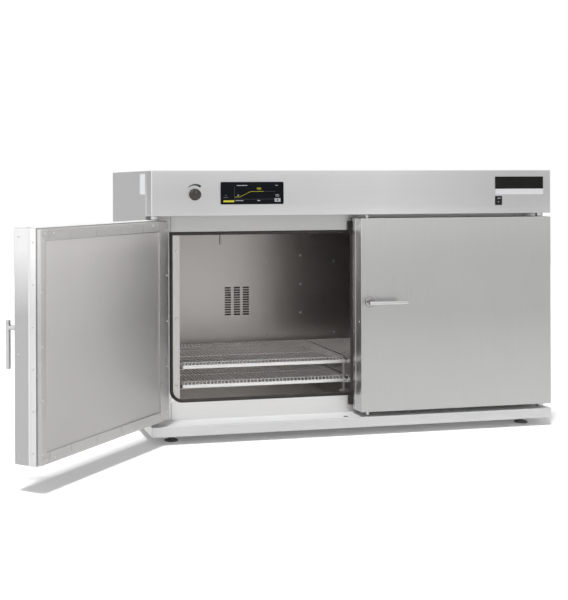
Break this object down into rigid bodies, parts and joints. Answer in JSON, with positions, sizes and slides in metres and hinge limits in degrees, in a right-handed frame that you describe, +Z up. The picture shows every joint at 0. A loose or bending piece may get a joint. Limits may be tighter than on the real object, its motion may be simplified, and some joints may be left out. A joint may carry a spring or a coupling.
{
  "type": "forced convection oven",
  "caption": "Wide stainless laboratory oven with double swing doors, lever handles, bolts, wire shelves in a fan-heated chamber and a control panel with display and exhaust knob.",
  "frame": {"origin": "centre of the base tray's underside, halfway between the front plane and the rear panel", "axes": "+X to the right seen from the front, +Y from the front into the oven, +Z up"},
  "size_m": [2.0882, 1.3877, 0.97],
  "materials": {
    "satin_steel": "satin stainless sheet",
    "chamber_steel": "smooth stainless sheet",
    "bright_steel": "polished stainless steel",
    "galvanised": "galvanised or scaled steel on hidden pieces",
    "black_rubber": "black silicone rubber",
    "dark_plastic": "fine-grained dark plastic",
    "black_glass": "black touch display",
    "plate_black": "black printed metal plate",
    "rock_wool": "mineral wool",
    "motor_black": "black painted motor housing"
  },
  "bodies": {
    "cabinet": {"base_tray": "satin_steel", "foot_front_left": "black_rubber", "foot_front_right": "black_rubber", "foot_rear_left": "black_rubber", "foot_rear_right": "black_rubber", "outer_wrap": "satin_steel", "rear_panel": "satin_steel", "control_panel": "satin_steel", "front_frame": "satin_steel", "chamber_shell": "chamber_steel", "insulation_blanket": "rock_wool", "inner_back_panel": "galvanised", "rear_baffle": "chamber_steel", "left_air_duct": "chamber_steel", "right_air_duct": "chamber_steel", "centre_shelf_stand": "chamber_steel", "right_upper_shelf": "bright_steel", "right_lower_shelf": "bright_steel", "chamber_gasket": "black_rubber", "left_upper_hinge_pin": "bright_steel", "left_lower_hinge_pin": "bright_steel", "right_upper_hinge_pin": "bright_steel", "right_lower_hinge_pin": "bright_steel", "left_fan_motor": "motor_black", "right_fan_motor": "motor_black", "left_heater": "galvanised", "right_heater": "galvanised", "temperature_probe": "chamber_steel", "exhaust_duct": "galvanised", "display_screen": "black_glass", "display_housing": "dark_plastic", "name_plate": "plate_black", "power_switch_frame": "dark_plastic", "cable_gland": "dark_plastic"},
    "left_door": {"left_door_shell": "satin_steel", "left_door_core": "rock_wool", "left_door_liner": "satin_steel", "left_door_inner_panel": "satin_steel", "left_lock_case": "galvanised", "left_handle_rose": "bright_steel"},
    "right_door": {"right_door_shell": "satin_steel", "right_door_core": "rock_wool", "right_door_liner": "satin_steel", "right_door_inner_panel": "satin_steel", "right_lock_case": "galvanised", "right_handle_rose": "bright_steel", "centre_seal": "black_rubber"},
    "left_lever": {"left_handle": "bright_steel"},
    "right_lever": {"right_handle": "bright_steel"},
    "left_bolt_up": {"left_upper_bolt": "bright_steel"},
    "left_bolt_down": {"left_lower_bolt": "bright_steel"},
    "right_bolt_up": {"right_upper_bolt": "bright_steel"},
    "right_bolt_down": {"right_lower_bolt": "bright_steel"},
    "left_rack_up": {"left_upper_shelf": "bright_steel"},
    "left_rack_down": {"left_lower_shelf": "bright_steel"},
    "left_fan": {"left_fan_wheel": "galvanised"},
    "right_fan": {"right_fan_wheel": "galvanised"},
    "damper": {"exhaust_knob": "dark_plastic"},
    "rocker": {"power_switch_rocker": "dark_plastic"}
  },
  "joints": [
    {"name": "left_door_hinge", "type": "hinge", "parent": "cabinet", "child": "left_door", "pos_m": [-0.754, -0.3595, 0.409], "axis": [0, 0, 1], "range_deg": [-37.65, 132.35]},
    {"name": "right_door_hinge", "type": "hinge", "parent": "cabinet", "child": "right_door", "pos_m": [0.754, -0.3595, 0.409], "axis": [0, 0, 1], "range_deg": [0, 170]},
    {"name": "left_handle_turn", "type": "hinge", "parent": "left_door", "child": "left_lever", "pos_m": [-1.26878, -0.85299, 0.458], "axis": [0.739, -0.6737, 0], "range_deg": [0, 90]},
    {"name": "right_handle_turn", "type": "hinge", "parent": "right_door", "child": "right_lever", "pos_m": [0.0425, -0.4075, 0.458], "axis": [0, 1, 0], "range_deg": [0, 90]},
    {"name": "left_upper_bolt_slide", "type": "slide", "parent": "left_door", "child": "left_bolt_up", "axis": [0, 0, 1], "range_m": [0, 0.0155]},
    {"name": "left_lower_bolt_slide", "type": "slide", "parent": "left_door", "child": "left_bolt_down", "axis": [0, 0, 1], "range_m": [-0.0155, 0]},
    {"name": "right_upper_bolt_slide", "type": "slide", "parent": "right_door", "child": "right_bolt_up", "axis": [0, 0, 1], "range_m": [-0.0155, 0]},
    {"name": "right_lower_bolt_slide", "type": "slide", "parent": "right_door", "child": "right_bolt_down", "axis": [0, 0, 1], "range_m": [0, 0.0155]},
    {"name": "left_upper_shelf_slide", "type": "slide", "parent": "cabinet", "child": "left_rack_up", "axis": [0, 1, 0], "range_m": [-0.3, 0]},
    {"name": "left_lower_shelf_slide", "type": "slide", "parent": "cabinet", "child": "left_rack_down", "axis": [0, 1, 0], "range_m": [-0.3, 0]},
    {"name": "left_fan_spin", "type": "hinge", "parent": "cabinet", "child": "left_fan", "pos_m": [-0.279, 0.279, 0.403], "axis": [0, 1, 0], "continuous": true},
    {"name": "right_fan_spin", "type": "hinge", "parent": "cabinet", "child": "right_fan", "pos_m": [0.279, 0.279, 0.403], "axis": [0, 1, 0], "continuous": true},
    {"name": "exhaust_knob_turn", "type": "hinge", "parent": "cabinet", "child": "damper", "pos_m": [-0.617, -0.4075, 0.856], "axis": [0, 1, 0], "range_deg": [0, 90]},
    {"name": "power_switch_rock", "type": "hinge", "parent": "cabinet", "child": "rocker", "pos_m": [0.5585, -0.4045, 0.827], "axis": [1, 0, 0], "range_deg": [-10, 0]}
  ],
  "couplings": [
    {"joint": "left_upper_bolt_slide", "follows": "left_handle_turn", "m_per_rad": 0.009867},
    {"joint": "left_lower_bolt_slide", "follows": "left_handle_turn", "m_per_rad": -0.009867},
    {"joint": "right_upper_bolt_slide", "follows": "right_handle_turn", "m_per_rad": -0.009867},
    {"joint": "right_lower_bolt_slide", "follows": "right_handle_turn", "m_per_rad": 0.009867}
  ]
}
